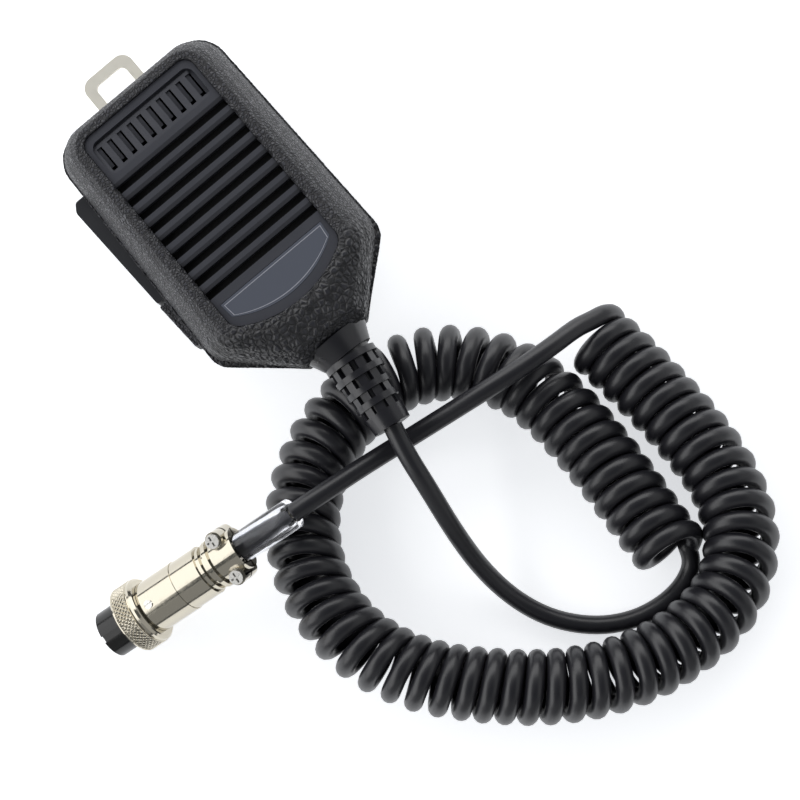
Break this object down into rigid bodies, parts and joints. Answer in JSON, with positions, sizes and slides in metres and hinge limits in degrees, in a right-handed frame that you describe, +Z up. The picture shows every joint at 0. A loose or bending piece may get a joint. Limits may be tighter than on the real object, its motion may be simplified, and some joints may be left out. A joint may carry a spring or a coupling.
{
  "type": "hand microphone",
  "caption": "Fist-held communications microphone with slotted grille, side talk lever, ribbed strain relief, curly cord and screw-ring plug.",
  "frame": {"origin": "centre of the handset's footprint on the table, on the table's surface", "axes": "+Y along the handset towards its hanger end, +Z up from the table, +X to the handset's right seen from its grille"},
  "size_m": [0.1642, 0.2274, 0.0402],
  "materials": {
    "case": "leather grain, moulded",
    "panel": "fine matt",
    "label": "glossy",
    "cloth": "woven",
    "lever": "satin",
    "steel": "satin",
    "nickel": "nickel plate",
    "rubber": "satin",
    "board": "solder mask",
    "parts": "moulded",
    "capsule": "satin",
    "switch": "moulded",
    "insert": "moulded",
    "gold": "plated",
    "sleeve": "clear flexible plastic"
  },
  "bodies": {
    "handset": {"front_shell": "case", "rear_shell": "case", "grille_panel": "panel", "label_plate": "label", "dust_screen": "cloth", "lever_pin": "steel", "talk_switch": "switch", "circuit_board": "board", "board_parts": "parts", "board_screws": "steel", "capsule_boot": "rubber", "mic_capsule": "capsule", "up_switch": "switch", "down_switch": "switch", "key_board": "board", "case_screws": "steel", "hanger_strap": "nickel", "hanger_screws": "nickel", "strain_relief": "rubber", "cable_core": "rubber", "cable_clamp": "steel", "clamp_screws": "steel", "cord_handset_tail": "rubber", "cord_coil": "rubber", "cord_plug_tail": "rubber", "clear_sleeve": "sleeve", "contact_insert": "insert", "contacts": "gold", "plug_barrel": "nickel", "set_screw": "steel", "plug_back": "nickel", "clamp_saddle": "nickel", "saddle_screws": "steel"},
    "lever": {"talk_lever": "lever", "lever_spring": "steel"},
    "plunger": {"switch_plunger": "switch"},
    "up_key": {"up_button": "lever", "up_stem": "switch"},
    "down_key": {"down_button": "lever", "down_stem": "switch"},
    "nut_ring": {"nut_clip": "steel"},
    "nut": {"coupling_nut": "nickel"}
  },
  "joints": [
    {"name": "ptt_press", "type": "hinge", "parent": "handset", "child": "lever", "pos_m": [-0.02156, 0.00525, 0.01674], "axis": [0, -0.0958, -0.9954], "range_deg": [0, 4.3], "stiffness_Nm_per_rad": 0.4, "springref_deg": -3.44},
    {"name": "plunger_press", "type": "slide", "parent": "handset", "child": "plunger", "axis": [1, 0, 0], "range_m": [0, 0.0016]},
    {"name": "up_press", "type": "slide", "parent": "handset", "child": "up_key", "axis": [0, -0.9954, 0.0958], "range_m": [0, 0.0008], "stiffness_N_per_m": 1500, "springref_m": -0.0004},
    {"name": "down_press", "type": "slide", "parent": "handset", "child": "down_key", "axis": [0, -0.9954, 0.0958], "range_m": [0, 0.0008], "stiffness_N_per_m": 1500, "springref_m": -0.0004},
    {"name": "nut_slide", "type": "slide", "parent": "handset", "child": "nut_ring", "axis": [-0.9511, 0.1, -0.2924], "range_m": [0, 0.0034]},
    {"name": "nut_spin", "type": "hinge", "parent": "nut_ring", "child": "nut", "pos_m": [-0.08318, -0.05719, 0.0105], "axis": [0.9511, -0.1, 0.2924], "continuous": true}
  ],
  "couplings": [
    {"joint": "plunger_press", "follows": "ptt_press", "m_per_rad": 0.02}
  ]
}
